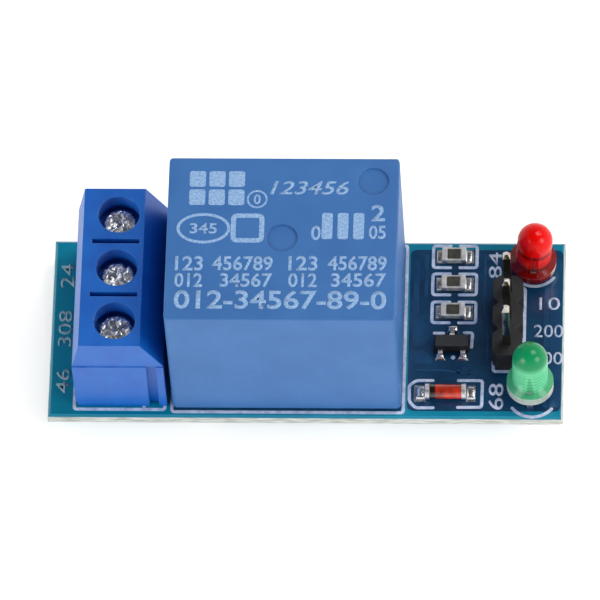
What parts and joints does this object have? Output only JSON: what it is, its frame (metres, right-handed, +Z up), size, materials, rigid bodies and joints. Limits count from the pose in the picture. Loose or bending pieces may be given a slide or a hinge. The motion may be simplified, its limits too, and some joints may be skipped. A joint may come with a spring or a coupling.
{
  "type": "relay module board",
  "caption": "Small board with a sealed relay, a screw terminal block with rising clamps, two indicator lamps, a pin header and surface parts.",
  "frame": {"origin": "centre of the board's outline in plan, at the level of the trimmed pin ends that it stands on", "axes": "+X along the board from the terminal block to the lamps, +Y to the board's back edge, +Z up from the board towards the relay's roof"},
  "size_m": [0.043, 0.017, 0.018],
  "materials": {
    "board": "glass fibre board with a glossy blue-green mask and bare pale edges",
    "terminal_plastic": "moulded bright blue, satin to glossy",
    "tinned_brass": "tin plated strip",
    "screw_steel": "bright zinc plate",
    "clamp_metal": "nickel plated",
    "relay_plastic": "moulded mid blue, fine satin",
    "relay_base_plastic": "moulded dark base",
    "bobbin_plastic": "natural moulded",
    "copper": "enamelled wire, closely wound",
    "soft_iron": "plated soft iron",
    "spring_bronze": "bare spring strip",
    "contact_silver": "plain silver alloy",
    "tinned_wire": "tinned, dull bright",
    "header_plastic": "moulded black",
    "red_epoxy": "tinted diffused epoxy",
    "green_epoxy": "tinted diffused epoxy",
    "resistor_ceramic": "dark glassy coat on pale ceramic",
    "transistor_plastic": "moulded black",
    "diode_glass": "orange-red glass with a dark end band",
    "solder": "bright solder"
  },
  "bodies": {
    "board": {"circuit_board": "board", "terminal_housing": "terminal_plastic", "terminal_contacts": "tinned_brass", "relay_case": "relay_plastic", "relay_base": "relay_base_plastic", "relay_bobbin": "bobbin_plastic", "relay_winding": "copper", "relay_core": "soft_iron", "relay_yoke": "soft_iron", "relay_hinge_spring": "spring_bronze", "relay_no_terminal": "spring_bronze", "relay_nc_terminal": "spring_bronze", "relay_fixed_contacts": "contact_silver", "relay_coil_pins": "tinned_wire", "header_base": "header_plastic", "header_pins": "tinned_brass", "red_lens": "red_epoxy", "red_leads": "tinned_wire", "green_lens": "green_epoxy", "green_leads": "tinned_wire", "resistor_bodies": "resistor_ceramic", "resistor_ends": "tinned_wire", "transistor_body": "transistor_plastic", "transistor_leads": "tinned_wire", "diode_glass": "diode_glass", "diode_ends": "tinned_wire", "terminal_solder": "solder", "relay_solder": "solder", "header_solder": "solder", "lamp_solder": "solder", "chip_solder": "solder"},
    "screw_1": {"terminal_screw_1": "screw_steel"},
    "clamp_1": {"terminal_clamp_1": "clamp_metal"},
    "screw_2": {"terminal_screw_2": "screw_steel"},
    "clamp_2": {"terminal_clamp_2": "clamp_metal"},
    "screw_3": {"terminal_screw_3": "screw_steel"},
    "clamp_3": {"terminal_clamp_3": "clamp_metal"},
    "armature": {"relay_armature": "soft_iron", "relay_contact_blade": "spring_bronze", "relay_moving_contact": "contact_silver"}
  },
  "joints": [
    {"name": "screw_1_turn", "type": "hinge", "parent": "board", "child": "screw_1", "pos_m": [-0.01545, -0.00498, 0.0102], "axis": [0, 0, -1], "range_deg": [0, 1441]},
    {"name": "clamp_1_rise", "type": "slide", "parent": "board", "child": "clamp_1", "axis": [0, 0, 1], "range_m": [0, 0.0018]},
    {"name": "screw_2_turn", "type": "hinge", "parent": "board", "child": "screw_2", "pos_m": [-0.01545, 0.0001, 0.0102], "axis": [0, 0, -1], "range_deg": [0, 1441]},
    {"name": "clamp_2_rise", "type": "slide", "parent": "board", "child": "clamp_2", "axis": [0, 0, 1], "range_m": [0, 0.0018]},
    {"name": "screw_3_turn", "type": "hinge", "parent": "board", "child": "screw_3", "pos_m": [-0.01545, 0.00518, 0.0102], "axis": [0, 0, -1], "range_deg": [0, 1441]},
    {"name": "clamp_3_rise", "type": "slide", "parent": "board", "child": "clamp_3", "axis": [0, 0, 1], "range_m": [0, 0.0018]},
    {"name": "armature_pull", "type": "hinge", "parent": "board", "child": "armature", "pos_m": [0.00595, 0, 0.01375], "axis": [0, -1, 0], "range_deg": [0, 3.2], "stiffness_Nm_per_rad": 0.02, "springref_deg": -5.73}
  ],
  "couplings": [
    {"joint": "screw_1_turn", "follows": "clamp_1_rise", "rad_per_m": 13963},
    {"joint": "screw_2_turn", "follows": "clamp_2_rise", "rad_per_m": 13963},
    {"joint": "screw_3_turn", "follows": "clamp_3_rise", "rad_per_m": 13963}
  ]
}
